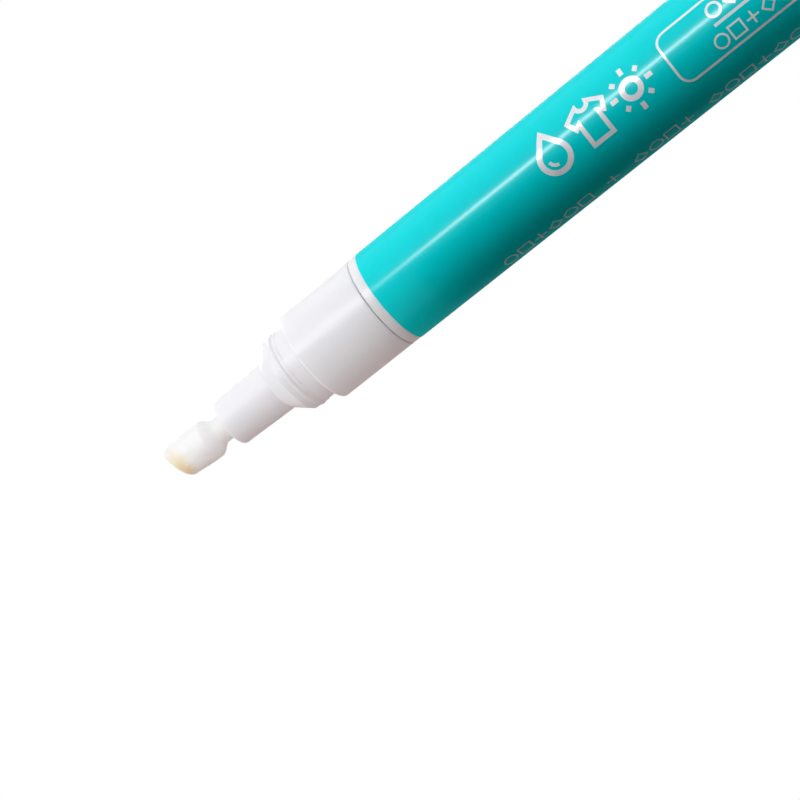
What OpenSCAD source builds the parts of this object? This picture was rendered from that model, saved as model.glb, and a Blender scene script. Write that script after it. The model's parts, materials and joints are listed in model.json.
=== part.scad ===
// A valve pen that dabs liquid stain remover onto cloth, with its cap posted on the tail.
// The pen stands on the cap's closed end. Z runs up the pen to the nib, X points to the long side of the nib.

/* [Body] */
// Outside diameter of the barrel, the collar and the cap
body_d = 15.1; // [14.9:0.1:15.6]
// Rounding of the moulded edges that show
edge_r = 0.3; // [0.15:0.05:0.5]

/* [Barrel] */
// Length of the barrel from its rear end to the shoulder under the collar
barrel_len = 78.5; // [77.5:0.5:100]
// Bore that holds the liquid
barrel_bore_d = 12.6; // [12.2:0.1:13]
// Outside diameter of the neck that the collar snaps onto
neck_d = 13.4; // [13.2:0.1:13.5]
// Length of the neck
neck_len = 8.4; // [7.6:0.1:8.8]
// Bore of the neck
neck_bore_d = 10.6; // [10.4:0.1:10.8]

/* [Label] */
// Length of the printed film
label_len = 75; // [40:1:76]
// Thickness of the film
label_t = 0.1; // [0.08:0.01:0.14]
// Bare rim between the film and the front of the barrel
front_rim = 1.5; // [1:0.1:2.5]
// Gap of the butt seam at the back of the pen
label_seam = 0.3; // [0.1:0.1:1]

/* [Collar] */
// Length of the collar
collar_len = 13; // [12.6:0.1:13.4]
// Dark line between the barrel and the collar
parting_gap = 0.1; // [0.05:0.05:0.2]

/* [Nozzle] */
// Diameter of the shoulder that the cap pushes over
shoulder_d = 12.4; // [12.2:0.1:12.6]
// Length of the shoulder ahead of the collar
shoulder_len = 4.6; // [4.2:0.1:5]
// Slope of the cone between the shoulder and the tube, from the pen's axis
cone_angle = 38.7; // [32:0.1:42]
// Height of the snap bead over the shoulder
bead_h = 0.18; // [0.1:0.01:0.2]
// Distance from the collar to the crest of the snap bead
bead_at = 3.4; // [3:0.1:3.7]
// Diameter of the tube where it meets the cone
tube_root_d = 8.26; // [8.1:0.02:8.5]
// Diameter of the tube at its tip
tube_tip_d = 7.74; // [7.5:0.02:8]
// Distance from the collar to the tip of the tube
tube_reach = 16.7; // [16:0.1:18]

/* [Nib] */
// Diameter of the felt head
nib_d = 6.3; // [5.6:0.1:6.8]
// Diameter of the felt neck
nib_neck_d = 4.04; // [3.6:0.02:4.06]
// Bare neck between the tube and the head
nib_gap = 3.8; // [3:0.1:5]
// Length of the head along the pen's axis
nib_head_len = 6.7; // [5:0.1:9]
// Slant of the cut end
nib_slant = 15; // [0:1:20]

/* [Valve] */
// Distance that the nib presses in
press_travel = 2; // [1:0.1:2.2]
// Outside diameter of the valve housing
housing_d = 8.8; // [8.4:0.1:9]
// Length of the valve housing below the seat
housing_len = 15.8; // [14:0.1:20]
// Diameter of the valve core's head
core_d = 5.2; // [4.6:0.1:5.6]
// Bore of the soft seat
seat_bore_d = 3.2; // [2.8:0.1:3.8]

/* [Spring] */
// Diameter of the spring wire
wire_d = 0.45; // [0.3:0.05:0.5]
// Diameter of the spring at the middle of its wire
coil_d = 4.2; // [3.9:0.1:4.6]
// Number of turns
coil_turns = 8; // [5:1:9]

/* [Tail plug] */
// Length of the spigot that the cap is posted on
spigot_len = 11; // [8:0.5:11]
// Depth of the plug inside the barrel
plug_depth = 8; // [5:0.5:12]

/* [Cap] */
// Length of the cap
cap_len = 33; // [31.5:0.1:40]
// Thickness of the closed end
cap_floor = 1.2; // [1:0.1:1.4]
// Gap all round between the cap and what it pushes over
cap_fit = 0.08; // [0.05:0.01:0.1]
// Inside diameter of the sealing cup
cup_bore_d = 8; // [7.8:0.1:8.4]

/* [Hidden] */
$fn = 96;

// Small gaps and walls that every piece shares
body_r = body_d / 2;
press_gap = 0.02;      // pieces pushed together for good
slide_gap = 0.08;      // pieces that slide in one another
rest_gap = 0.1;        // pieces that stop against one another
cut = 0.5;             // how far a cutter runs past what it cuts
small_edge = 0.12;     // rounding beside the parting line
chamfer = 0.4;         // lead-in of bores and spigots
label_seat = 0.05;     // depth of the film's seat in the barrel

// Heights along the pen, from the closed end of the cap
post_z = cap_len + rest_gap;                // face of the tail plug that the cap stops against
flange_t = 1;                               // tail plug's flange between the cap and the barrel
barrel_z = post_z + flange_t;
shoulder_z = barrel_z + barrel_len;         // barrel's shoulder under the collar
label_top_z = shoulder_z - front_rim;
neck_top_z = shoulder_z + neck_len;
gasket_t = 0.8;
flange_z = neck_top_z + gasket_t;           // rear face of the nozzle's flange
nozzle_flange_t = 1.5;
collar_z = shoulder_z + parting_gap;
collar_face_z = collar_z + collar_len;
bead_z = collar_face_z + bead_at;
cone_z = collar_face_z + shoulder_len;
tip_z = collar_face_z + tube_reach;
head_z = tip_z + nib_gap;
head_top_z = head_z + nib_head_len;

// The nozzle's inside
seat_t = 0.8;
chamber_r = 3;                              // bore that the nib's carrier slides in
guide_len = 3.3;                            // short bore at the tip that guides the nib's neck
funnel_len = 0.9;                           // cone between the chamber and that bore
valve_bore_len = 5.2;
seat_step_z = flange_z + valve_bore_len;    // step that the soft seat is held against
guide_z = tip_z - guide_len;
funnel_z = guide_z - funnel_len;
valve_bore_r = housing_d / 2 + press_gap;
seat_z = seat_step_z - seat_t;              // rear face of the seat, which the core closes

// The valve's inside
housing_z = seat_z - housing_len;
housing_floor = 1.2;
housing_wall = 1.1;
spring_z = housing_z + housing_floor;
core_head_t = 1.55;
core_z = seat_z - rest_gap / 2 - core_head_t; // rear face of the core's head, where the spring pushes
carrier_z = seat_step_z + press_travel + 0.4;
carrier_top_z = funnel_z - 0.6;
pin_r = 1.1;                                // core's front pin
tenon_r = 1.5;                              // nib's rear end in the carrier
pin_depth = 2.2;
tenon_depth = 5.2;

// Snap ribs between the collar and the neck
snap_h = 0.15;
snap_z = collar_z + 4;

// A rectangle in the section plane, from the inner to the outer radius
module wall(r_in, r_out, z_low, z_high) {
    translate([r_in, z_low]) square([r_out - r_in, z_high - z_low]);
}

// What rounding takes off the outer corner of a section; side is 1 on an upper corner and -1 on a lower one
module outer_corner(r, z, edge, side) {
    difference() {
        translate([r - edge, side > 0 ? z - edge : z - cut]) square([edge + cut, edge + cut]);
        translate([r - edge, z - side * edge]) circle(edge);
    }
}

// A ring bead in the section plane, whose crest stands h over the radius r
module bead(r, z, h) {
    bead_r = 2.5 * h;
    translate([r + h - bead_r, z]) circle(bead_r);
}

// A wall with its outer corners rounded
module rounded_wall(r_in, r_out, z_low, z_high, low_edge, high_edge) {
    difference() {
        wall(r_in, r_out, z_low, z_high);
        outer_corner(r_out, z_high, high_edge, 1);
        outer_corner(r_out, z_low, low_edge, -1);
    }
}

// A cone in the section plane that opens a bore of radius r at its mouth, which faces up
module lead_in(r, z) {
    polygon([[0, z + cut], [r + chamfer, z + cut], [r + chamfer, z], [r, z - chamfer], [0, z - chamfer]]);
}

// Barrel: a moulded tube with a shallow seat for the film and a narrower neck
module barrel() {
    bore_r = barrel_bore_d / 2;
    neck_r = neck_d / 2;
    neck_bore_r = neck_bore_d / 2;
    neck_floor_t = 1.2;
    bore_end_z = shoulder_z - neck_floor_t;
    color("white") rotate_extrude() difference() {
        union() {
            rounded_wall(0, body_r, barrel_z, shoulder_z, small_edge, small_edge);
            rounded_wall(0, neck_r, shoulder_z - cut, neck_top_z, small_edge, edge_r);
            bead(neck_r, snap_z, snap_h);
        }
        wall(body_r - label_seat, body_r + cut, label_top_z - label_len, label_top_z);
        polygon([[0, barrel_z - cut], [bore_r, barrel_z - cut], [bore_r, bore_end_z - (bore_r - neck_bore_r)],
                 [neck_bore_r, bore_end_z], [neck_bore_r, neck_top_z + cut], [0, neck_top_z + cut]]);
    }
}

// Label: a printed film wrapped round the barrel, with its butt seam at the back
module label_film() {
    film_r = body_r - label_seat;
    low_z = label_top_z - label_len;
    color("darkturquoise") difference() {
        rotate_extrude() wall(film_r, film_r + label_t, low_z, label_top_z);
        translate([-label_seam / 2, 0, low_z - cut]) cube([label_seam, body_r + cut, label_len + 2 * cut]);
    }
}

// Collar: a ring that snaps onto the neck and clamps the nozzle's flange
module collar() {
    bore_r = neck_d / 2 + press_gap;
    lip_r = shoulder_d / 2 + slide_gap;
    lip_z = flange_z + nozzle_flange_t + press_gap;
    color("white") rotate_extrude() difference() {
        rounded_wall(lip_r, body_r, collar_z, collar_face_z, small_edge, edge_r);
        wall(0, bore_r, collar_z - cut, lip_z);
        bead(bore_r, snap_z, snap_h);
    }
}

// Nozzle: flange, shoulder with its snap bead, cone and tube in one moulding
module nozzle() {
    shoulder_r = shoulder_d / 2;
    root_r = tube_root_d / 2;
    tip_r = tube_tip_d / 2;
    cone_len = (shoulder_r - root_r) / tan(cone_angle);
    root_z = cone_z + cone_len;
    ridge_z = bead_z - 0.85;
    guide_r = nib_neck_d / 2 + slide_gap;
    // The blend between the cone and the tube is an arc that touches both
    blend_r = 2.9;
    blend_len = blend_r * tan(cone_angle / 2);
    color("white") rotate_extrude() difference() {
        union() {
            wall(0, neck_d / 2, flange_z, flange_z + nozzle_flange_t);
            polygon([[0, flange_z], [shoulder_r, flange_z], [shoulder_r, cone_z], [root_r, root_z],
                     [0, root_z]]);
            bead(shoulder_r, bead_z, bead_h);
            bead(shoulder_r, ridge_z, bead_h / 2);
            polygon([[0, root_z - cut], [root_r, root_z - cut], [root_r, root_z + blend_len],
                     [tip_r, tip_z - edge_r], [0, tip_z - edge_r]]);
            wall(0, tip_r - edge_r, tip_z - 2 * edge_r, tip_z);
            translate([tip_r - edge_r, tip_z - edge_r]) circle(edge_r);
            difference() {
                polygon([[root_r, root_z],
                         [root_r + blend_len * sin(cone_angle), root_z - blend_len * cos(cone_angle)],
                         [root_r - cut, root_z - blend_len], [root_r - cut, root_z + blend_len],
                         [root_r, root_z + blend_len]]);
                translate([root_r + blend_r, root_z + blend_len]) circle(blend_r);
            }
        }
        polygon([[0, flange_z - cut], [valve_bore_r, flange_z - cut], [valve_bore_r, seat_step_z],
                 [chamber_r, seat_step_z], [chamber_r, funnel_z], [guide_r, guide_z], [guide_r, tip_z + cut],
                 [0, tip_z + cut]]);
        lead_in(guide_r, tip_z);
    }
}

// Gasket: a soft ring that the collar squeezes between the nozzle and the neck
module nozzle_gasket() {
    color("dimgray") rotate_extrude()
        wall(neck_bore_d / 2, neck_d / 2 - small_edge, neck_top_z, flange_z);
}

// Valve housing: a cup with inlet slots, held in the nozzle by its front end
module valve_housing() {
    outer_r = housing_d / 2;
    inner_r = outer_r - housing_wall;
    stem_hole_r = 1.3;
    stop_r = neck_bore_d / 2 - slide_gap;
    stop_t = 1.4;
    slots = 3;
    slot_w = 1.4;
    slot_h = 6;
    slot_z = spring_z + 1.2;
    color("whitesmoke") difference() {
        rotate_extrude() difference() {
            union() {
                rounded_wall(0, outer_r, housing_z, seat_z, edge_r, small_edge);
                rounded_wall(0, stop_r, flange_z - stop_t, flange_z, edge_r, small_edge);
            }
            wall(0, inner_r, spring_z, seat_z + cut);
            wall(0, stem_hole_r, housing_z - cut, spring_z + cut);
        }
        for (i = [0:slots - 1])
            rotate(360 / slots * i)
                translate([0, -slot_w / 2, slot_z]) cube([outer_r + cut, slot_w, slot_h]);
    }
}

// Valve seat: a soft washer held between the nozzle's step and the housing
module valve_seat() {
    color("dimgray") rotate_extrude()
        wall(seat_bore_d / 2, housing_d / 2 - small_edge, seat_z, seat_step_z);
}

// Valve core: the pin that the nib pushes, the cone that closes the seat, and the stem that guides the spring
module valve_core() {
    cone_r = core_d / 2;
    rim_z = core_z + 0.8;
    land_r = seat_bore_d / 2 + 0.3;
    core_top_z = core_z + core_head_t;
    pin_top_z = carrier_z + pin_depth - press_gap;
    hub_r = 1.5;
    hub_z = core_z - 2.4;
    stem_r = 0.9;
    stem_end_z = housing_z - 0.6;
    color("whitesmoke") rotate_extrude()
        polygon([[0, stem_end_z], [stem_r - edge_r, stem_end_z], [stem_r, stem_end_z + edge_r],
                 [stem_r, hub_z - (hub_r - stem_r)], [hub_r, hub_z], [hub_r, core_z], [cone_r, core_z],
                 [cone_r, rim_z], [land_r, core_top_z], [pin_r, core_top_z], [pin_r, pin_top_z],
                 [0, pin_top_z]]);
}

// Spring: one helix of wire whose end turns lie closer together than its middle turns
module valve_spring() {
    sides = 8;
    steps = 16;
    rings = coil_turns * steps;
    end_gap = wire_d / 2 + press_gap;
    low_z = spring_z + end_gap;
    rise = core_z - end_gap - low_z;
    closing = 0.05;
    // Centre of the wire at ring i, and the points of the wire's section there
    function centre(i) =
        let (a = 360 * i / steps, t = i / rings)
            [coil_d / 2 * cos(a), coil_d / 2 * sin(a), low_z + rise * (t - closing * sin(360 * t))];
    function section(i) =
        let (a = 360 * i / steps, c = centre(i))
            [for (k = [0:sides - 1])
                let (b = 360 / sides * k)
                    c + wire_d / 2 * [cos(b) * cos(a), cos(b) * sin(a), sin(b)]];
    least_gap = min([for (i = [0:rings - steps]) norm(centre(i + steps) - centre(i))]) - wire_d;
    echo(str("Least gap between the spring's turns: ", least_gap, " mm"));
    wall_faces = [
        for (i = [0:rings - 1], k = [0:sides - 1])
            let (a = i * sides + k, b = i * sides + (k + 1) % sides)
                each [[a, a + sides, b], [b, a + sides, b + sides]]
    ];
    end_faces = [
        for (k = [1:sides - 2], last = [0, rings * sides])
            last == 0 ? [0, k, k + 1] : [last, last + k + 1, last + k]
    ];
    color("silver") polyhedron([for (i = [0:rings]) each section(i)], concat(wall_faces, end_faces));
}

// Tail plug: a hollow spigot that closes the barrel and takes the posted cap
module tail_plug() {
    spigot_r = shoulder_d / 2;
    plug_r = barrel_bore_d / 2 - press_gap;
    wall_t = 1.2;
    bead_stand = 0.1;
    bead_inset = 2;
    plug_top_z = barrel_z + plug_depth;
    color("white") rotate_extrude() difference() {
        union() {
            rounded_wall(0, spigot_r, post_z - spigot_len, barrel_z, 2 * edge_r, small_edge);
            rounded_wall(0, body_r, post_z, barrel_z, small_edge, small_edge);
            rounded_wall(0, plug_r - bead_stand, barrel_z - cut, plug_top_z, small_edge, 2 * edge_r);
            for (z = [barrel_z + bead_inset, plug_top_z - bead_inset])
                bead(plug_r - bead_stand, z, bead_stand);
        }
        wall(0, spigot_r - wall_t, post_z - spigot_len + wall_t, plug_top_z + cut);
    }
}

// Head of the nib: felt rounded all over, with a slanted end
module nib_head() {
    head_r = nib_d / 2;
    round_r = 0.7;
    rear_r = head_r - 0.05;
    end_r = head_r * 0.93;
    belly_z = head_z + nib_head_len * 0.45;
    belly_t = 0.6;
    $fn = 32;
    hull() {
        translate([0, 0, head_z + round_r]) rotate_extrude() translate([rear_r - round_r, 0]) circle(round_r);
        translate([0, 0, belly_z]) cylinder(h = belly_t, r = head_r);
        translate([0, 0, head_top_z]) rotate([0, -nib_slant, 0]) translate([0, 0, -round_r])
            rotate_extrude() translate([end_r / cos(nib_slant) - round_r, 0]) circle(round_r);
    }
}

// Nib: head, neck and the tenon that the carrier holds
module nib() {
    neck_into_head = 0.8;
    neck_h = head_z + neck_into_head - carrier_top_z;
    color("ivory") union() {
        nib_head();
        translate([0, 0, carrier_top_z]) cylinder(h = neck_h, d = nib_neck_d);
        translate([0, 0, carrier_top_z - tenon_depth + press_gap]) cylinder(h = tenon_depth, r = tenon_r);
    }
}

// Nib carrier: the sleeve that joins the nib to the valve core, fluted for the liquid
module nib_carrier() {
    outer_r = chamber_r - slide_gap;
    flutes = 3;
    flute_w = 1.2;
    flute_d = 0.8;
    flute_len = carrier_top_z - carrier_z + 2 * cut;
    color("whitesmoke") difference() {
        rotate_extrude() difference() {
            rounded_wall(0, outer_r, carrier_z, carrier_top_z, edge_r, edge_r);
            wall(0, tenon_r + press_gap, carrier_top_z - tenon_depth, carrier_top_z + cut);
            wall(0, pin_r + press_gap, carrier_z - cut, carrier_z + pin_depth);
        }
        for (i = [0:flutes - 1])
            rotate(360 / flutes * i)
                translate([outer_r - flute_d, -flute_w / 2, carrier_z - cut])
                    cube([flute_d + cut, flute_w, flute_len]);
    }
}

// Cap: a plain shell with a groove for the nozzle's snap bead
module cap_shell() {
    bore_r = shoulder_d / 2 + cap_fit;
    groove_depth = 0.17;
    groove_z = cap_len - bead_at;
    end_round = 1.2;
    color("white") rotate_extrude() difference() {
        rounded_wall(0, body_r, 0, cap_len, end_round, edge_r);
        wall(0, bore_r, cap_floor, cap_len + cut);
        bead(bore_r, groove_z, groove_depth);
        lead_in(bore_r, cap_len);
    }
}

// Sealing cup: the inner cap that closes round the tube and keeps the nib wet
module sealing_cup() {
    bore_r = cup_bore_d / 2;
    cup_wall = 0.8;
    base_t = 0.8;
    base_r = shoulder_d / 2 + cap_fit - press_gap;
    tube_overlap = 4.7;
    cup_top_z = cap_len - tube_reach + tube_overlap;
    color("whitesmoke") rotate_extrude() difference() {
        union() {
            rounded_wall(0, base_r, cap_floor, cap_floor + base_t, small_edge, small_edge);
            rounded_wall(0, bore_r + cup_wall, cap_floor, cup_top_z, small_edge, edge_r);
        }
        wall(0, bore_r, cap_floor + base_t, cup_top_z + cut);
        lead_in(bore_r, cup_top_z);
    }
}

barrel();
label_film();
collar();
nozzle();
nozzle_gasket();
valve_housing();
valve_seat();
valve_spring();
tail_plug();
nib();
nib_carrier();
valve_core();
cap_shell();
sealing_cup();
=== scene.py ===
"""Dresses a stain remover pen: satin white mouldings, a glossy teal film with plain white marks, a damp
felt nib and the sprung valve behind it, on a pale floor under soft light."""

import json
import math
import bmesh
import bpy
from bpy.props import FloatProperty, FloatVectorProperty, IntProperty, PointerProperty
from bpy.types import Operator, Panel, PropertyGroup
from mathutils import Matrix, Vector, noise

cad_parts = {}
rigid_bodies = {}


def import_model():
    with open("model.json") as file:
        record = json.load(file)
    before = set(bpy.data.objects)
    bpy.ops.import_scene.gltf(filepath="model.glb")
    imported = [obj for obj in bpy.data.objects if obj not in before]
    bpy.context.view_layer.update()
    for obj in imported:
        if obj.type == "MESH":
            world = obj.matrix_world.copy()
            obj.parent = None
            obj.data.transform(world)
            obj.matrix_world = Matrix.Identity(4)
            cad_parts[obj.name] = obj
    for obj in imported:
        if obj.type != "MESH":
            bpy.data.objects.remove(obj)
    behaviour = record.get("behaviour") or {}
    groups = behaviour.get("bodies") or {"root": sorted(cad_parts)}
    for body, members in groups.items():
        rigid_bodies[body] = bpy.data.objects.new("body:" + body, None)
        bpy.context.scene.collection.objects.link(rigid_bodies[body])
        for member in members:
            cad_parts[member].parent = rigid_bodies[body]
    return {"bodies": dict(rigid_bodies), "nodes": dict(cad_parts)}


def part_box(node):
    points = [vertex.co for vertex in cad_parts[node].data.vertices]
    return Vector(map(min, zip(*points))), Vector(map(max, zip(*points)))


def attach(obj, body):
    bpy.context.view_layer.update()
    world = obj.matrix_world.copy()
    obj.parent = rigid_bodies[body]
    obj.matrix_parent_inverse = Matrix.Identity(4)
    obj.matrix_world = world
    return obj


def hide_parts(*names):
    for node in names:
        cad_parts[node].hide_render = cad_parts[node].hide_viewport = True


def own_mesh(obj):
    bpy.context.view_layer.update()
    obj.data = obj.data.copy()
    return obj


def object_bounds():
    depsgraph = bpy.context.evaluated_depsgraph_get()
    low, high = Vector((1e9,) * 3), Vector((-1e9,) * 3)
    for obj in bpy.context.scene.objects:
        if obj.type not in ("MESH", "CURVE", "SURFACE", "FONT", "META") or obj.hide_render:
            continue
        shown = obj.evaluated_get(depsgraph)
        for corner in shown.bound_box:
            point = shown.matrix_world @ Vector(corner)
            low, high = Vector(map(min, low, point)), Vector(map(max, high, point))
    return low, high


bl_info = {
    "name": "Stain Remover Pen",
    "version": (1, 0, 0),
    "blender": (4, 5, 0),
    "location": "View3D > Sidebar > Pen",
    "description": "Builds the film, print, nib, spring and finishes of a stain remover pen",
    "category": "Object",
}

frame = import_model()
CAD_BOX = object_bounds()
MM = 0.001

# Where the moulded parts end, read from the frame
FILM_LOW, FILM_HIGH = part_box("label_film")
FILM_RADIUS = FILM_HIGH.x
NIB_LOW, NIB_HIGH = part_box("nib")
TUBE_TIP_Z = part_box("nozzle")[1].z
CARRIER_TOP_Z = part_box("nib_carrier")[1].z
SPRING_LOW, SPRING_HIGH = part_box("valve_spring")
PEN_HEIGHT = CAD_BOX[1].z


class StageSettings(PropertyGroup):
    """Camera, lamps and floor."""
    camera_place: FloatVectorProperty(
        name="Camera place", description="Where the camera stands", subtype="TRANSLATION", unit="LENGTH",
        default=(-0.01284, -0.25199, 0.04873))
    camera_forward: FloatVectorProperty(
        name="Camera forward", description="Direction that the camera looks in", subtype="DIRECTION",
        default=(0.0, 0.9626, 0.2708))
    camera_up: FloatVectorProperty(
        name="Camera up", description="Direction that is up in the picture", subtype="DIRECTION",
        default=(0.7881, 0.1667, -0.5925))
    camera_lens: FloatProperty(
        name="Lens", description="Focal length on a sensor 36 mm wide", default=81.0,
        min=20.0, max=200.0)
    key_power: FloatProperty(
        name="Key lamp", description="Power of the large soft lamp", unit="POWER", default=2.62,
        min=0.0)
    sheen_power: FloatProperty(
        name="Sheen lamp", description="Power of the wide lamp beside the pen that only gloss shows",
        unit="POWER", default=1.7, min=0.0)
    strip_power: FloatProperty(
        name="Strip lamp", description="Power of the narrow lamp that draws the highlight down the film",
        unit="POWER", default=5.4, min=0.0)
    fill_power: FloatProperty(
        name="Fill lamp", description="Power of the faint warm lamp on the shaded side", unit="POWER",
        default=0.42, min=0.0)
    back_power: FloatProperty(
        name="Back lamp", description="Power of the lamp behind the pen", unit="POWER", default=1.5,
        min=0.0)
    ambient: FloatProperty(
        name="Ambient", description="Brightness of the room on the pen", default=0.45, min=0.0, max=1.0)
    floor_radius: FloatProperty(
        name="Floor radius", description="Radius of the pale floor", unit="LENGTH", default=0.6, min=0.1)


class MouldingSettings(PropertyGroup):
    """White plastic of the barrel, collar, nozzle, tail plug and cap."""
    white: FloatVectorProperty(
        name="White plastic", description="Colour of the outer mouldings", subtype="COLOR", size=4,
        min=0.0, max=1.0, default=(0.89, 0.885, 0.91, 1.0))
    natural: FloatVectorProperty(
        name="Natural plastic", description="Colour of the inner mouldings", subtype="COLOR", size=4,
        min=0.0, max=1.0, default=(0.82, 0.83, 0.81, 1.0))
    rubber: FloatVectorProperty(
        name="Seal rubber", description="Colour of the gasket and the valve seat", subtype="COLOR",
        size=4, min=0.0, max=1.0, default=(0.05, 0.05, 0.055, 1.0))


class FilmSettings(PropertyGroup):
    """Film round the barrel."""
    teal: FloatVectorProperty(
        name="Teal ink", description="Colour of the film", subtype="COLOR", size=4,
        min=0.0, max=1.0, default=(0.0, 0.775, 0.81, 1.0))
    thickness: FloatProperty(
        name="Film thickness", description="Thickness of the film", unit="LENGTH", default=0.1 * MM)
    seam: FloatProperty(
        name="Seam gap", description="Gap of the butt seam at the back", unit="LENGTH",
        default=0.3 * MM)


class PrintSettings(PropertyGroup):
    """White ink on the film."""
    white_ink: FloatVectorProperty(
        name="White ink", description="Colour of the printed marks", subtype="COLOR", size=4,
        min=0.0, max=1.0, default=(0.93, 0.95, 1.0, 1.0))
    ink_height: FloatProperty(
        name="Ink height", description="How far the ink of the marks stands on the film", unit="LENGTH",
        default=0.015 * MM)
    thin_height: FloatProperty(
        name="Thin ink height", description="How far the ink of the small rows stands on the film",
        unit="LENGTH", default=0.009 * MM)
    thin_share: FloatProperty(
        name="Thin ink", description="Share of white in the ink of the small rows", default=0.6,
        min=0.0, max=1.0, subtype="FACTOR")
    mark_stroke: FloatProperty(
        name="Mark stroke", description="Width of the lines of the three marks", unit="LENGTH",
        default=0.8 * MM)


class NibSettings(PropertyGroup):
    """Felt nib."""
    neck_diameter: FloatProperty(
        name="Neck diameter", description="Diameter of the felt neck", unit="LENGTH", default=4.04 * MM)
    tenon_diameter: FloatProperty(
        name="Tenon diameter", description="Diameter of the end inside the carrier", unit="LENGTH",
        default=3.0 * MM)
    bare_neck: FloatProperty(
        name="Bare neck", description="Length of neck between the tube and the head", unit="LENGTH",
        default=3.8 * MM)
    slant: FloatProperty(
        name="Slant", description="Slant of the cut end", subtype="ANGLE", default=math.radians(15))
    felt: FloatVectorProperty(
        name="Felt", description="Colour of the clean felt", subtype="COLOR", size=4,
        min=0.0, max=1.0, default=(0.95, 0.955, 0.91, 1.0))
    stain: FloatVectorProperty(
        name="Stain", description="Colour of the used end", subtype="COLOR", size=4,
        min=0.0, max=1.0, default=(0.87, 0.67, 0.42, 1.0))


class SpringSettings(PropertyGroup):
    """Valve spring."""
    wire: FloatProperty(
        name="Wire", description="Diameter of the wire", unit="LENGTH", default=0.45 * MM)
    turns: IntProperty(name="Turns", description="Number of turns", default=8, min=3, max=20)
    steel: FloatVectorProperty(
        name="Steel", description="Colour of the wire", subtype="COLOR", size=4,
        min=0.0, max=1.0, default=(0.62, 0.62, 0.64, 1.0))


class Graph:
    """A material's node tree, with one call for each node."""

    def __init__(self, name):
        self.material = bpy.data.materials.new(name)
        self.material.use_nodes = True
        self.tree = self.material.node_tree
        self.shader = self.tree.nodes["Principled BSDF"]

    def node(self, kind, inputs=None, **settings):
        made = self.tree.nodes.new(kind)
        for key, value in settings.items():
            setattr(made, key, value)
        for key, value in (inputs or {}).items():
            self.feed(made.inputs[key], value)
        return made

    def feed(self, socket, value):
        if isinstance(value, bpy.types.NodeSocket):
            self.tree.links.new(value, socket)
        else:
            socket.default_value = value

    def set(self, **values):
        for key, value in values.items():
            self.feed(self.shader.inputs[key.replace("_", " ")], value)

    def place(self):
        return self.node("ShaderNodeTexCoord").outputs["Object"]

    def stretched(self, scale):
        return self.node("ShaderNodeMapping", {"Vector": self.place(), "Scale": scale}).outputs["Vector"]

    def noise(self, vector, scale=1.0, detail=3.0, roughness=0.5):
        inputs = {"Vector": vector, "Scale": scale, "Detail": detail, "Roughness": roughness}
        return self.node("ShaderNodeTexNoise", inputs).outputs["Fac"]

    def spread(self, value, low, high):
        inputs = {"Value": value, "To Min": low, "To Max": high}
        return self.node("ShaderNodeMapRange", inputs).outputs["Result"]

    def bump(self, height, distance, strength=1.0, normal=None):
        inputs = {"Height": height, "Distance": distance, "Strength": strength}
        if normal is not None:
            inputs["Normal"] = normal
        return self.node("ShaderNodeBump", inputs).outputs["Normal"]

    def rounded(self, radius):
        """Shades edges and corners as if they had a small radius, as moulded ones do."""
        return self.node("ShaderNodeBevel", {"Radius": radius}, samples=8).outputs["Normal"]

    def mix(self, share, first, second, blend="MIX"):
        made = self.node("ShaderNodeMix", data_type="RGBA", blend_type=blend)
        self.feed(made.inputs["Factor"], share)
        self.feed(made.inputs[6], first)
        self.feed(made.inputs[7], second)
        return made.outputs[2]


def shade_of(color, factor):
    """The colour made darker or lighter by a factor."""
    return tuple(min(1.0, c * factor) for c in color[:3]) + (1.0,)


def moulded_plastic(name, color, roughness, scatter):
    """Satin polypropylene: soft sheen, faint flow marks and a fine skin from the mould."""
    g = Graph(name)
    flow = g.noise(g.stretched((90.0, 90.0, 22.0)), detail=4.0)
    skin = g.noise(g.place(), scale=5200.0, detail=2.0)
    waves = g.bump(flow, distance=0.05 * MM, strength=0.4, normal=g.rounded(0.3 * MM))
    g.set(
        Base_Color=g.mix(flow, shade_of(color, 0.975), shade_of(color, 1.015)),
        Roughness=g.spread(flow, roughness - 0.06, roughness + 0.06),
        Normal=g.bump(skin, distance=0.004 * MM, strength=0.35, normal=waves),
        Subsurface_Weight=scatter,
        Subsurface_Radius=(1.0, 0.85, 0.8),
        Subsurface_Scale=0.9 * MM,
        Specular_IOR_Level=0.3,
    )
    return g.material


def seal_rubber(name, color):
    """Matt nitrile rubber with a dusty bloom."""
    g = Graph(name)
    bloom = g.noise(g.place(), scale=900.0, detail=5.0)
    grain = g.noise(g.place(), scale=4200.0)
    g.set(
        Base_Color=g.mix(bloom, shade_of(color, 0.8), shade_of(color, 1.5)),
        Roughness=g.spread(grain, 0.62, 0.85),
        Normal=g.bump(grain, distance=0.02 * MM, strength=0.5),
    )
    return g.material


def glossy_film(name, color):
    """Printed film under a clear gloss, with slow ripples where it follows the barrel."""
    g = Graph(name)
    ripple = g.noise(g.stretched((160.0, 160.0, 38.0)), detail=2.0)
    cloud = g.noise(g.place(), scale=420.0)
    dots = g.noise(g.place(), scale=7000.0, detail=1.0)
    ripples = g.bump(ripple, distance=0.02 * MM, strength=0.5)
    g.set(
        Base_Color=g.mix(cloud, shade_of(color, 0.97), shade_of(color, 1.03)),
        Roughness=g.spread(cloud, 0.2, 0.27),
        Specular_IOR_Level=0.0,
        Coat_Weight=0.18,
        Coat_Roughness=0.2,
        Normal=g.bump(dots, distance=0.002 * MM, strength=0.2, normal=ripples),
    )
    return g.material


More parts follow.
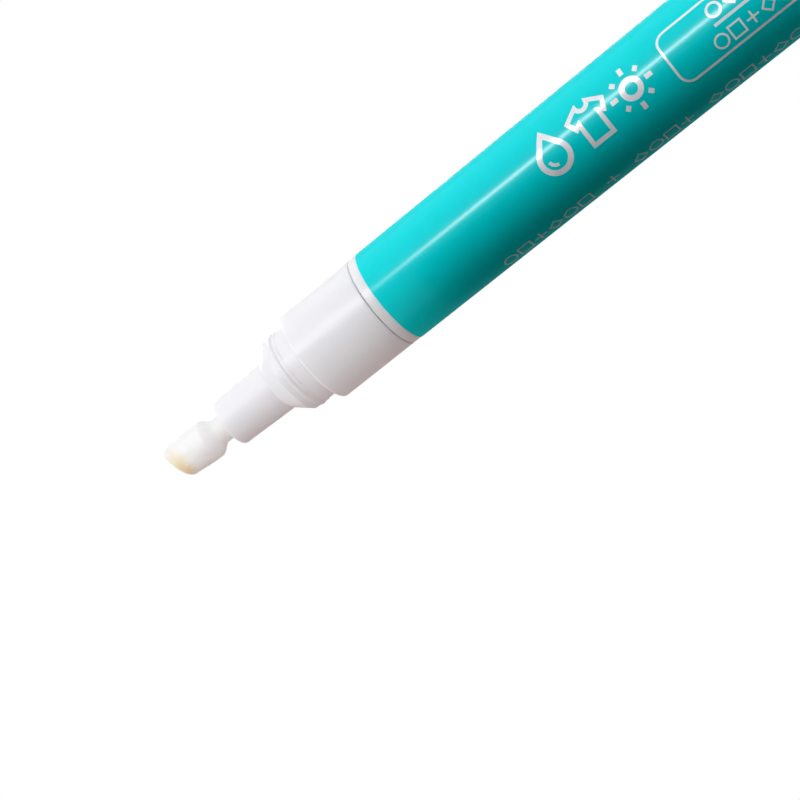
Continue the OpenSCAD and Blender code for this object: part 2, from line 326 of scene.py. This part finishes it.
def printed_ink(name, color, strength):
    """White ink; a lower strength lets the teal show through thin print."""
    g = Graph(name)
    patch = g.noise(g.place(), scale=1500.0, detail=4.0)
    teal = bpy.context.scene.pen_film.teal
    thin = tuple(color[i] * strength + teal[i] * (1.0 - strength) for i in range(3)) + (1.0,)
    g.set(
        Base_Color=g.mix(patch, shade_of(thin, 0.95), shade_of(thin, 1.03)),
        Roughness=g.spread(patch, 0.2, 0.3),
        Specular_IOR_Level=0.35,
        Normal=g.bump(patch, distance=0.004 * MM, strength=0.3),
    )
    return g.material


def damp_felt(name, felt, stain, stain_point):
    """Pressed fibres: off-white, damp, and stained at the corner that is dabbed on cloth."""
    g = Graph(name)
    fibres = g.noise(g.stretched((3800.0, 3800.0, 900.0)), detail=4.0, roughness=0.6)
    clumps = g.noise(g.place(), scale=700.0, detail=4.0)
    broad = Vector((0.45, 0.65, 1.0))
    inputs = {0: g.stretched(broad), 1: stain_point * broad}
    reach = g.node("ShaderNodeVectorMath", inputs, operation="DISTANCE").outputs["Value"]
    inputs = {0: g.noise(g.place(), scale=420.0, detail=2.0), 1: 2.2 * MM}
    wander = g.node("ShaderNodeMath", inputs, operation="MULTIPLY").outputs[0]
    edge = g.node("ShaderNodeMath", {0: reach, 1: wander}, operation="ADD").outputs[0]
    inputs = {"Value": edge, "From Min": 1.0 * MM, "From Max": 4.4 * MM, "To Min": 1.0, "To Max": 0.0}
    soaked = g.node("ShaderNodeMapRange", inputs, interpolation_type="SMOOTHERSTEP").outputs["Result"]
    clean = g.mix(clumps, shade_of(felt, 0.94), shade_of(felt, 1.05))
    g.set(
        Base_Color=g.mix(soaked, clean, stain),
        Roughness=g.spread(clumps, 0.5, 0.75),
        Subsurface_Weight=1.0,
        Subsurface_Radius=(1.0, 0.92, 0.85),
        Subsurface_Scale=5.0 * MM,
        Specular_IOR_Level=0.3,
        Sheen_Weight=0.35,
        Normal=g.bump(fibres, distance=0.03 * MM, strength=0.6),
    )
    return g.material


def spring_steel(name, color):
    """Bright drawn wire."""
    g = Graph(name)
    drawn = g.noise(g.stretched((1200.0, 1200.0, 9000.0)))
    g.set(
        Base_Color=g.mix(drawn, shade_of(color, 0.85), shade_of(color, 1.1)),
        Metallic=1.0,
        Roughness=g.spread(drawn, 0.2, 0.38),
        Normal=g.bump(drawn, distance=0.004 * MM, strength=0.4),
    )
    return g.material


def finish_nodes(material, slot, *nodes):
    """Gives CAD nodes a finish."""
    for name in nodes:
        piece = frame["nodes"][name]
        piece.data.materials.clear()
        piece.data.materials.append(material)


def add_piece(name, mesh, material, slot, body, *nodes):
    """Makes a mesh into a piece that rides on a body and stands for CAD nodes."""
    piece = bpy.data.objects.new(name, mesh)
    bpy.context.scene.collection.objects.link(piece)
    if material is not None:
        mesh.materials.append(material)
    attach(piece, body)
    if nodes:
        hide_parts(*nodes)
    return piece


def mesh_from(bm, name, smooth=True):
    """Turns a bmesh into a mesh with clean normals."""
    bmesh.ops.recalc_face_normals(bm, faces=bm.faces)
    mesh = bpy.data.meshes.new(name)
    bm.to_mesh(mesh)
    bm.free()
    for face in mesh.polygons:
        face.use_smooth = smooth
    return mesh


def sharpen(mesh, angle):
    """Marks the edges that stay crisp under smooth shading."""
    mesh.set_sharp_from_angle(angle=angle)


def round_barrel(angle, radius, z):
    """The point at an angle from the front of the pen, positive towards +X."""
    return Vector((radius * math.sin(angle), -radius * math.cos(angle), z))


class PEN_OT_stage(Operator):
    """Make the floor, the soft lamps, the world and the camera"""
    bl_idname = "pen.stage"
    bl_label = "Stage"

    def lamp(self, name, power, color, azimuth, height, distance, width, tall, only=""):
        """A soft lamp that faces the middle of the pen and lights all, or only gloss or only diffuse."""
        data = bpy.data.lights.new(name, "AREA")
        data.shape = "RECTANGLE"
        data.size = width
        data.size_y = tall
        data.energy = power
        data.color = color
        lamp = bpy.data.objects.new(name, data)
        bpy.context.scene.collection.objects.link(lamp)
        lamp.location = round_barrel(math.radians(azimuth), distance, height)
        aim = Vector((0.0, 0.0, 0.5 * PEN_HEIGHT)) - lamp.location
        lamp.rotation_euler = aim.to_track_quat("-Z", "Y").to_euler()
        lamp.visible_camera = False
        lamp.visible_diffuse = only != "glossy"
        lamp.visible_glossy = only != "diffuse"

    def world(self, ambient):
        """A room that lights the pen gently and looks white to the camera, in gloss and through glass."""
        world = bpy.data.worlds.new("Studio")
        world.use_nodes = True
        tree = world.node_tree
        tree.nodes.clear()
        path = tree.nodes.new("ShaderNodeLightPath")
        room = tree.nodes.new("ShaderNodeBackground")
        room.inputs["Color"].default_value = (0.99, 0.99, 1.0, 1.0)
        room.inputs["Strength"].default_value = ambient
        white = tree.nodes.new("ShaderNodeBackground")
        white.inputs["Color"].default_value = (1.0, 1.0, 1.0, 1.0)
        white.inputs["Strength"].default_value = 1.0
        seen = path.outputs["Is Camera Ray"]
        for kind in ("Is Glossy Ray", "Is Transmission Ray"):
            either = tree.nodes.new("ShaderNodeMath")
            either.operation = "MAXIMUM"
            tree.links.new(seen, either.inputs[0])
            tree.links.new(path.outputs[kind], either.inputs[1])
            seen = either.outputs[0]
        mix = tree.nodes.new("ShaderNodeMixShader")
        out = tree.nodes.new("ShaderNodeOutputWorld")
        tree.links.new(seen, mix.inputs["Fac"])
        tree.links.new(room.outputs[0], mix.inputs[1])
        tree.links.new(white.outputs[0], mix.inputs[2])
        tree.links.new(mix.outputs[0], out.inputs["Surface"])
        world.cycles.sampling_method = "NONE"
        bpy.context.scene.world = world

    def floor(self, radius):
        """A pale disc that fades to the white of the background towards its edge."""
        bm = bmesh.new()
        bmesh.ops.create_circle(bm, cap_ends=True, cap_tris=False, segments=128, radius=radius)
        mesh = mesh_from(bm, "floor", smooth=False)
        floor = bpy.data.objects.new("floor", mesh)
        bpy.context.scene.collection.objects.link(floor)
        g = Graph("pale_floor")
        tree = g.tree
        g.set(Base_Color=(0.9, 0.9, 0.91, 1.0), Roughness=0.6, Specular_IOR_Level=0.2)
        reach = g.node("ShaderNodeVectorMath", {0: g.place()}, operation="LENGTH").outputs["Value"]
        inputs = {"Value": reach, "From Min": radius * 0.25, "From Max": radius * 0.9}
        far = g.node("ShaderNodeMapRange", inputs, interpolation_type="SMOOTHSTEP").outputs["Result"]
        white = g.node("ShaderNodeEmission", {"Color": (1.0, 1.0, 1.0, 1.0), "Strength": 1.0})
        path = g.node("ShaderNodeLightPath")
        seen = g.node("ShaderNodeMath", {0: far, 1: path.outputs["Is Camera Ray"]}, operation="MULTIPLY")
        mix = g.node("ShaderNodeMixShader", {0: seen.outputs[0]})
        tree.links.new(g.shader.outputs["BSDF"], mix.inputs[1])
        tree.links.new(white.outputs["Emission"], mix.inputs[2])
        tree.links.new(mix.outputs[0], tree.nodes["Material Output"].inputs["Surface"])
        mesh.materials.append(g.material)

    def card(self, name, color, start, end, distance, low, high):
        """A curved card that the camera doesn't see and that holds back the room's light or warms it."""
        bm = bmesh.new()
        columns = []
        steps = 24
        for i in range(steps + 1):
            angle = math.radians(start + (end - start) * i / steps)
            columns.append([bm.verts.new(round_barrel(angle, distance, z)) for z in (low, high)])
        for left, right in zip(columns, columns[1:]):
            bm.faces.new((left[0], left[1], right[1], right[0]))
        card = bpy.data.objects.new(name, mesh_from(bm, name))
        bpy.context.scene.collection.objects.link(card)
        g = Graph(name)
        g.set(Base_Color=color, Roughness=0.9, Specular_IOR_Level=0.0)
        card.data.materials.append(g.material)
        card.visible_camera = False
        card.visible_shadow = False

    def camera(self, s):
        """A camera that stands, looks and turns as the settings say."""
        data = bpy.data.cameras.new("camera")
        data.lens = s.camera_lens
        data.sensor_width = 36.0
        data.clip_start = 0.01
        data.clip_end = 10.0
        camera = bpy.data.objects.new("camera", data)
        bpy.context.scene.collection.objects.link(camera)
        forward = Vector(s.camera_forward).normalized()
        right = forward.cross(Vector(s.camera_up)).normalized()
        up = right.cross(forward)
        turn = Matrix((right, up, -forward)).transposed()
        camera.matrix_world = Matrix.Translation(s.camera_place) @ turn.to_4x4()
        bpy.context.scene.camera = camera

    def execute(self, context):
        s = context.scene.pen_stage
        kept = set(frame["nodes"].values()) | set(frame["bodies"].values())
        for left_over in [o for o in bpy.data.objects if o not in kept]:
            bpy.data.objects.remove(left_over)
        self.world(s.ambient)
        self.floor(s.floor_radius)
        self.card(
            "dark_card", (0.05, 0.045, 0.04, 1.0), start=4, end=-100, distance=0.02, low=0.022, high=0.107)
        self.card(
            "warm_card", (0.34, 0.23, 0.20, 1.0), start=-65, end=-175, distance=0.09, low=0.02, high=0.23)
        self.lamp(
            "key", s.key_power, (0.985, 0.99, 1.0),
            azimuth=49, height=0.6, distance=0.53, width=0.42, tall=0.4)
        self.lamp(
            "sheen", s.sheen_power, (1.0, 1.0, 1.0),
            azimuth=76, height=0.195, distance=0.5, width=1.05, tall=0.39, only="glossy")
        self.lamp(
            "strip", s.strip_power, (1.0, 1.0, 1.0),
            azimuth=29.4, height=0.128, distance=0.7, width=0.05, tall=0.26, only="glossy")
        self.lamp(
            "fill", s.fill_power, (1.0, 0.80, 0.74),
            azimuth=-75, height=0.2, distance=0.5, width=0.4, tall=0.4, only="diffuse")
        self.lamp(
            "back", s.back_power, (1.0, 0.98, 0.96),
            azimuth=180, height=0.4, distance=0.6, width=0.5, tall=0.4)
        self.camera(s)
        context.scene.view_settings.view_transform = "Standard"
        return {"FINISHED"}


class PEN_OT_mouldings(Operator):
    """Give the white and the natural mouldings and the seals their finishes"""
    bl_idname = "pen.mouldings"
    bl_label = "Mouldings"

    def execute(self, context):
        s = context.scene.pen_mouldings
        white = moulded_plastic("white_polypropylene", s.white, roughness=0.36, scatter=0.6)
        finish_nodes(white, "white_plastic", "barrel", "collar", "nozzle", "tail_plug")
        cap = moulded_plastic("cap_polypropylene", s.white, roughness=0.32, scatter=0.6)
        finish_nodes(cap, "cap_plastic", "cap_shell")
        natural = moulded_plastic("natural_polyethylene", s.natural, roughness=0.5, scatter=0.5)
        inner = ("valve_housing", "nib_carrier", "valve_core", "sealing_cup")
        finish_nodes(natural, "valve_plastic", *inner)
        rubber = seal_rubber("nitrile_rubber", s.rubber)
        finish_nodes(rubber, "seal_rubber", "nozzle_gasket", "valve_seat")
        return {"FINISHED"}


class PEN_OT_film(Operator):
    """Wrap the teal film round the barrel"""
    bl_idname = "pen.film"
    bl_label = "Film"

    # Faces round the film and along it
    around = 360
    along = 48

    def execute(self, context):
        s = context.scene.pen_film
        half_gap = 0.5 * s.seam / FILM_RADIUS
        bm = bmesh.new()
        skins = []
        for radius in (FILM_RADIUS, FILM_RADIUS - s.thickness):
            grid = []
            for i in range(self.around + 1):
                angle = -math.pi + half_gap + (2 * math.pi - 2 * half_gap) * i / self.around
                column = []
                for k in range(self.along + 1):
                    z = FILM_LOW.z + (FILM_HIGH.z - FILM_LOW.z) * k / self.along
                    column.append(bm.verts.new(round_barrel(angle, radius, z)))
                grid.append(column)
            skins.append(grid)
            for left, right in zip(grid, grid[1:]):
                for k in range(self.along):
                    bm.faces.new((left[k], right[k], right[k + 1], left[k + 1]))
        outer, inner = skins
        for i in range(self.around):
            bm.faces.new((outer[i][0], outer[i + 1][0], inner[i + 1][0], inner[i][0]))
            bm.faces.new((outer[i][-1], outer[i + 1][-1], inner[i + 1][-1], inner[i][-1]))
        for k in range(self.along):
            bm.faces.new((outer[0][k], outer[0][k + 1], inner[0][k + 1], inner[0][k]))
            bm.faces.new((outer[-1][k], outer[-1][k + 1], inner[-1][k + 1], inner[-1][k]))
        mesh = mesh_from(bm, "film_wrap")
        sharpen(mesh, math.radians(40))
        add_piece("film_wrap", mesh, glossy_film("teal_film", s.teal), "label_film", "pen", "label_film")
        return {"FINISHED"}


def arc(x, y, radius, start, end, steps=24):
    """Points along an arc, with angles in degrees."""
    turns = [math.radians(start + (end - start) * i / steps) for i in range(steps + 1)]
    return [(x + radius * math.cos(a), y + radius * math.sin(a)) for a in turns]


class InkSheet:
    """Ink laid out flat, in millimetres: x from the film's front edge to the tail, y round the front."""

    # Longest stretch of ink that stays flat, in millimetres, and how far the ink reaches into the film
    step = 0.3
    sunk = 0.004 * MM

    def __init__(self, height):
        self.bm = bmesh.new()
        self.height = height

    def wrapped(self, x, y, lift):
        """The place on the film of a flat point."""
        return round_barrel(y * MM / FILM_RADIUS, FILM_RADIUS + lift, FILM_HIGH.z - x * MM)

    def refined(self, points, closed):
        """The same line with points close enough together to bend round the film."""
        points = [Vector(p) for p in points]
        ends = points[1:] + points[:1] if closed else points[1:]
        path = []
        for start, end in zip(points, ends):
            count = max(1, math.ceil((end - start).length / self.step))
            path += [start.lerp(end, i / count) for i in range(count)]
        return path if closed else path + [points[-1]]

    def across(self, path, closed):
        """At each point, the way across the line, longer at a corner so that the stroke keeps its width."""
        sides = []
        last = len(path) - 1
        for i, point in enumerate(path):
            before = path[i - 1] if i or closed else None
            after = path[(i + 1) % len(path)] if i < last or closed else None
            way_in = (point - before if before is not None else after - point).normalized()
            way_out = (after - point).normalized() if after is not None else way_in
            side = Vector((-way_in.y - way_out.y, way_in.x + way_out.x)).normalized()
            square = Vector((-way_in.y, way_in.x))
            sides.append(side / max(0.5, side.dot(square)))
        return sides

    def stroke(self, points, width, closed=False):
        """A line of ink of even width, as a thin closed solid."""
        path = self.refined(points, closed)
        lanes = max(1, math.ceil(width / self.step))
        lifts = (self.height, -self.sunk)
        rows = []
        for point, side in zip(path, self.across(path, closed)):
            row = []
            for k in range(lanes + 1):
                x, y = point + side * width * (k / lanes - 0.5)
                row.append([self.bm.verts.new(self.wrapped(x, y, lift)) for lift in lifts])
            rows.append(row)
        following = rows[1:] + rows[:1] if closed else rows[1:]
        for near, far in zip(rows, following):
            for k in range(lanes):
                for skin in (0, 1):
                    self.bm.faces.new((near[k][skin], near[k + 1][skin], far[k + 1][skin], far[k][skin]))
            for k in (0, lanes):
                self.bm.faces.new((near[k][0], far[k][0], far[k][1], near[k][1]))
        if not closed:
            for row in (rows[0], rows[-1]):
                for k in range(lanes):
                    self.bm.faces.new((row[k][0], row[k + 1][0], row[k + 1][1], row[k][1]))

    def figure(self, kind, x, y, size, width):
        """One small plain figure: a ring, a square, a diamond or a cross."""
        r = 0.5 * (size - width)
        if kind == "ring":
            self.stroke(arc(x, y, r, 0, 345, 23), width, True)
        elif kind == "square":
            self.stroke([(x - r, y - r), (x + r, y - r), (x + r, y + r), (x - r, y + r)], width, True)
        elif kind == "diamond":
            self.stroke([(x - r, y), (x, y - r), (x + r, y), (x, y + r)], width, True)
        else:
            self.stroke([(x - r, y), (x + r, y)], width)
            self.stroke([(x, y - r), (x, y + r)], width)

    def row(self, x, y, size, width, groups, kinds=("ring", "square", "cross", "diamond")):
        """Small figures in groups, as words are spaced, along the film."""
        pitch = 1.16 * size
        space = 0.9 * size
        count = 0
        for length in groups:
            for _ in range(length):
                self.figure(kinds[count % len(kinds)], x + 0.5 * size, y, size, width)
                x += pitch
                count += 1
            x += space


class PEN_OT_print(Operator):
    """Print three plain marks, a frame and rows of small figures on the film in white"""
    bl_idname = "pen.print"
    bl_label = "Print"

    # In millimetres: places of the marks along the film and round it, then the frame's sides and line
    marks_x = (31.8, 38.6, 45.4)
    marks_y = 0.92
    frame_sides = {"left": 51.3, "right": 72.2, "low": -3.6, "high": 4.4}
    frame_corner = 1.7
    frame_line = 0.34
    # Groups of figures in the rows round the back, above the front and below it, and the rows' pitch
    rows_above = ((5, 8, 6, 7), (9, 4, 7, 5), (6, 6, 8), (4, 9, 5, 7), (8, 5, 3))
    rows_below = ((7, 6, 9, 3), (5, 8, 4, 8), (9, 7))
    rows_pitch = 2.2

    def drop(self, sheet, x, y, width):
        """A drop with a glint."""
        radius = 2.15
        glint_radius = 1.05
        low, apex = y - 0.8, y + 3.0
        lean = math.degrees(math.acos(radius / (apex - low)))
        sheet.stroke(arc(x, low, radius, 90 + lean, 450 - lean, 40) + [(x, apex)], width, True)
        sheet.stroke(arc(x, low, glint_radius, 185, 265, 10), 0.6 * width)

    def shirt(self, sheet, x, y, width):
        """A short-sleeved shirt."""
        half = [(2.95, 1.65), (2.3, 0.2), (1.6, 0.6), (1.6, -2.95)]
        right = [(x + dx, y + dy) for dx, dy in half]
        left = [(x - dx, y + dy) for dx, dy in reversed(half)]
        sheet.stroke(right + left + arc(x, y + 2.9, 0.95, 180, 360, 14), 0.8 * width, True)

    def sun(self, sheet, x, y, width):
        """A ring with eight rays, long and short in turn."""
        ring, ray_start, long_ray, short_ray = 1.3, 2.3, 3.4, 3.1
        sheet.stroke(arc(x, y, ring, 0, 350, 35), width, True)
        middle = Vector((x, y))
        for i in range(8):
            reach = long_ray if i % 2 == 0 else short_ray
            way = Vector((math.cos(i * math.pi / 4), math.sin(i * math.pi / 4)))
            sheet.stroke([middle + ray_start * way, middle + reach * way], 0.85 * width)

    def frame(self, sheet, left, right, low, high, corner, width):
        """A plain line with rounded corners round a field."""
        points = arc(right - corner, low + corner, corner, -90, 0, 10)
        points += arc(right - corner, high - corner, corner, 0, 90, 10)
        points += arc(left + corner, high - corner, corner, 90, 180, 10)
        points += arc(left + corner, low + corner, corner, 180, 270, 10)
        sheet.stroke(points, width, True)

    def bold_print(self, height, stroke):
        """The marks and the frame with its two rows and its rule."""
        sheet = InkSheet(height)
        for draw, x in zip((self.drop, self.shirt, self.sun), self.marks_x):
            draw(sheet, x, self.marks_y, stroke)
        self.frame(sheet, **self.frame_sides, corner=self.frame_corner, width=self.frame_line)
        sheet.row(x=58.8, y=2.3, size=2.3, width=0.36, groups=(4,), kinds=("ring", "diamond"))
        sheet.stroke([(58.8, 0.42), (69.2, 0.42)], width=0.4)
        sheet.row(x=57.3, y=-1.75, size=2.15, width=0.27, groups=(5,))
        return sheet.bm

    def fine_print(self, height):
        """Thin rows beside the front and round the back."""
        sheet = InkSheet(height)
        sheet.row(x=16.5, y=-8.8, size=2.3, width=0.24, groups=(6, 1, 4, 6))
        sheet.row(x=15.0, y=10.6, size=1.5, width=0.15, groups=(7, 5, 9, 4, 6))
        for i, groups in enumerate(self.rows_above):
            sheet.row(x=14.0, y=13.4 + self.rows_pitch * i, size=1.3, width=0.13, groups=groups)
        for i, groups in enumerate(self.rows_below):
            sheet.row(x=14.0, y=-13.2 - self.rows_pitch * i, size=1.3, width=0.13, groups=groups)
        return sheet.bm

    def execute(self, context):
        s = context.scene.pen_print
        bold = self.bold_print(s.ink_height, s.mark_stroke / MM)
        fine = self.fine_print(s.thin_height)
        pieces = (
            ("bold_print", bold, printed_ink("white_ink", s.white_ink, 1.0)),
            ("fine_print", fine, printed_ink("thin_ink", s.white_ink, s.thin_share)),
        )
        for name, bm, ink in pieces:
            mesh = mesh_from(bm, name)
            sharpen(mesh, math.radians(40))
            add_piece(name, mesh, ink, "label_film", "pen")
        return {"FINISHED"}


class PEN_OT_nib(Operator):
    """Shape the felt nib with its slanted, stained end"""
    bl_idname = "pen.nib"
    bl_label = "Nib"

    # Points round the nib, and rings along its neck, flare, side, rounded edge and end
    around = 192
    neck_steps = 24
    flare_steps = 20
    side_steps = 40
    rim_steps = 10
    end_steps = 24
    # Length of the flare from neck to head, and how far behind the head's rear face it starts
    flare = 2.15 * MM
    flare_start = 1.7 * MM
    # Rounding of the end's edge, bulge of its middle, and how far the end leans to +X
    rim = 0.42 * MM
    bulge = 0.12 * MM
    lean = 0.12 * MM
    # How far the middle of the end's edge lies under the pen's top
    end_drop = 0.7 * MM
    # From its widest place on, the head loses this much radius over this length
    widest = 0.9 * MM
    taper = 0.3 * MM
    taper_length = 5.8 * MM
    # Middle of the stain: beside the axis, and under the nib's top
    stain_x = -1.6 * MM
    stain_y = -2.9 * MM
    stain_drop = 1.2 * MM
    # Size and depth of the felt's lumps and fibre ends, which fade in over the rear of the head
    lump_scale = 420
    lump_depth = 0.07 * MM
    fibre_scale = Vector((3600, 3600, 1500))
    fibre_depth = 0.03 * MM
    fade = 0.8 * MM

    def side_radius(self, height, radius):
        """Radius of the head at a height over its rear face."""
        return radius - self.taper * (max(0.0, height - self.widest) / self.taper_length) ** 1.3

    def profile(self, s, head_z):
        """Rings of the nib from the tenon to the middle of the end: radius, height, share of the slant."""
        radius = 0.5 * (NIB_HIGH.x - NIB_LOW.x)
        neck_r = 0.5 * s.neck_diameter
        tenon_r = 0.5 * s.tenon_diameter
        neck_end = head_z - self.flare_start
        top_z = PEN_HEIGHT - self.end_drop
        rings = [(tenon_r * 0.5, NIB_LOW.z, 0.0), (tenon_r * 0.92, NIB_LOW.z, 0.0)]
        rings += [(tenon_r, NIB_LOW.z + t * (CARRIER_TOP_Z - NIB_LOW.z), 0.0) for t in (0.03, 0.5, 1.0)]
        rings += [(neck_r * 0.97, CARRIER_TOP_Z, 0.0)]
        neck_start = CARRIER_TOP_Z + 0.1 * MM
        for i in range(self.neck_steps):
            t = i / self.neck_steps
            rings.append((neck_r, neck_start + t * (neck_end - CARRIER_TOP_Z), 0.0))
        shoulder = neck_end + self.flare - head_z
        rear_r = self.side_radius(shoulder, radius)
        for i in range(1, self.flare_steps + 1):
            t = i / self.flare_steps
            wider = (rear_r - neck_r) * t * t * (3 - 2 * t)
            rings.append((neck_r + wider, neck_end + self.flare * t, 0.0))
        side = top_z - self.rim - head_z - shoulder
        for i in range(1, self.side_steps):
            t = i / self.side_steps
            height = shoulder + side * t
            rings.append((self.side_radius(height, radius), head_z + height, t * t * (3 - 2 * t)))
        end_r = self.side_radius(shoulder + side, radius)
        for i in range(self.rim_steps + 1):
            a = 0.5 * math.pi * i / self.rim_steps
            in_from_side, under_end = self.rim * (1 - math.cos(a)), self.rim * (1 - math.sin(a))
            rings.append((end_r - in_from_side, top_z - under_end, 1.0))
        for i in range(1, self.end_steps):
            t = i / self.end_steps
            rings.append(((end_r - self.rim) * (1 - t), top_z + self.bulge * t * (2 - t), 1.0))
        return rings

    def execute(self, context):
        s = context.scene.pen_nib
        head_z = TUBE_TIP_Z + s.bare_neck
        slope = math.tan(s.slant)
        bm = bmesh.new()
        skin = []
        for radius, z, slanted in self.profile(s, head_z):
            ring = []
            for i in range(self.around):
                a = 2 * math.pi * i / self.around
                x, y = radius * math.cos(a), radius * math.sin(a)
                ring.append(bm.verts.new((x + slanted * self.lean, y, z + slanted * slope * x)))
            skin.append(ring)
        for low, high in zip(skin, skin[1:]):
            for i in range(self.around):
                n = (i + 1) % self.around
                bm.faces.new((low[i], low[n], high[n], high[i]))
        for ring in (skin[0], skin[-1]):
            middle = sum((vert.co for vert in ring), Vector()) / self.around
            pole = bm.verts.new(middle)
            for i in range(self.around):
                bm.faces.new((ring[i], ring[(i + 1) % self.around], pole))
        bm.normal_update()
        mesh = mesh_from(bm, "nib_felt")
        self.felt_surface(mesh, head_z)
        sharpen(mesh, math.radians(60))
        stain_point = Vector((self.stain_x, self.stain_y, NIB_HIGH.z - self.stain_drop))
        material = damp_felt("damp_felt", s.felt, s.stain, stain_point)
        add_piece("nib_felt", mesh, material, "nib_felt", "nib", "nib")
        return {"FINISHED"}

    def felt_surface(self, mesh, head_z):
        """Small lumps and fibre ends on the head; the neck stays true in its bore."""
        seed = Vector((3.1, 7.7, 1.3))
        moved = []
        for vert in mesh.vertices:
            co = vert.co
            share = min(1.0, max(0.0, (co.z - head_z) / self.fade))
            lump = noise.noise(co * self.lump_scale + seed)
            fibre = noise.noise(co * self.fibre_scale + seed)
            raised = self.lump_depth * lump + self.fibre_depth * fibre
            moved.append(co + vert.normal * share * raised)
        for vert, place in zip(mesh.vertices, moved):
            vert.co = place
        mesh.update()


class PEN_OT_spring(Operator):
    """Wind the valve spring"""
    bl_idname = "pen.spring"
    bl_label = "Spring"

    # Points round the wire and along each turn
    sides = 16
    steps = 48
    # How much closer the end turns lie, as a share of the spring's length
    closing = 0.05

    def execute(self, context):
        s = context.scene.pen_spring
        wire_r = 0.5 * s.wire
        coil_r = SPRING_HIGH.y - wire_r
        low, high = SPRING_LOW.z + wire_r, SPRING_HIGH.z - wire_r
        rings = s.turns * self.steps
        bm = bmesh.new()
        tube = []
        for i in range(rings + 1):
            t = i / rings
            a = 2 * math.pi * i / self.steps
            z = low + (high - low) * (t - self.closing * math.sin(2 * math.pi * t))
            out = Vector((math.cos(a), math.sin(a), 0.0))
            center = coil_r * out + Vector((0, 0, z))
            ring = []
            for k in range(self.sides):
                b = 2 * math.pi * k / self.sides
                turned = math.cos(b) * out + Vector((0, 0, math.sin(b)))
                ring.append(bm.verts.new(center + wire_r * turned))
            tube.append(ring)
        for left, right in zip(tube, tube[1:]):
            for k in range(self.sides):
                n = (k + 1) % self.sides
                bm.faces.new((left[k], left[n], right[n], right[k]))
        bm.faces.new(tube[0])
        bm.faces.new(tube[-1])
        mesh = mesh_from(bm, "spring_wire")
        sharpen(mesh, math.radians(50))
        material = spring_steel("drawn_steel", s.steel)
        spring = add_piece("spring_wire", mesh, material, "spring_steel", "pen", "valve_spring")
        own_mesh(spring)
        return {"FINISHED"}


class PEN_PT_panel(Panel):
    """Builds each part of the pen's look"""
    bl_idname = "PEN_PT_panel"
    bl_label = "Stain Remover Pen"
    bl_space_type = "VIEW_3D"
    bl_region_type = "UI"
    bl_category = "Pen"

    def draw(self, context):
        for operator, group in STEPS:
            box = self.layout.box()
            box.operator(operator.bl_idname)
            settings = getattr(context.scene, group)
            for key in settings.__annotations__:
                box.prop(settings, key)


GROUPS = {
    "pen_stage": StageSettings,
    "pen_mouldings": MouldingSettings,
    "pen_film": FilmSettings,
    "pen_print": PrintSettings,
    "pen_nib": NibSettings,
    "pen_spring": SpringSettings,
}
STEPS = (
    (PEN_OT_stage, "pen_stage"),
    (PEN_OT_mouldings, "pen_mouldings"),
    (PEN_OT_film, "pen_film"),
    (PEN_OT_print, "pen_print"),
    (PEN_OT_nib, "pen_nib"),
    (PEN_OT_spring, "pen_spring"),
)
CLASSES = (*GROUPS.values(), *(operator for operator, _ in STEPS), PEN_PT_panel)


def register():
    for cls in CLASSES:
        bpy.utils.register_class(cls)
    for name, group in GROUPS.items():
        setattr(bpy.types.Scene, name, PointerProperty(type=group))


def unregister():
    for name in GROUPS:
        delattr(bpy.types.Scene, name)
    for cls in reversed(CLASSES):
        bpy.utils.unregister_class(cls)


def main():
    register()
    bpy.ops.pen.stage()
    bpy.ops.pen.mouldings()
    bpy.ops.pen.film()
    bpy.ops.pen.print()
    bpy.ops.pen.nib()
    bpy.ops.pen.spring()


if __name__ == "__main__":
    main()
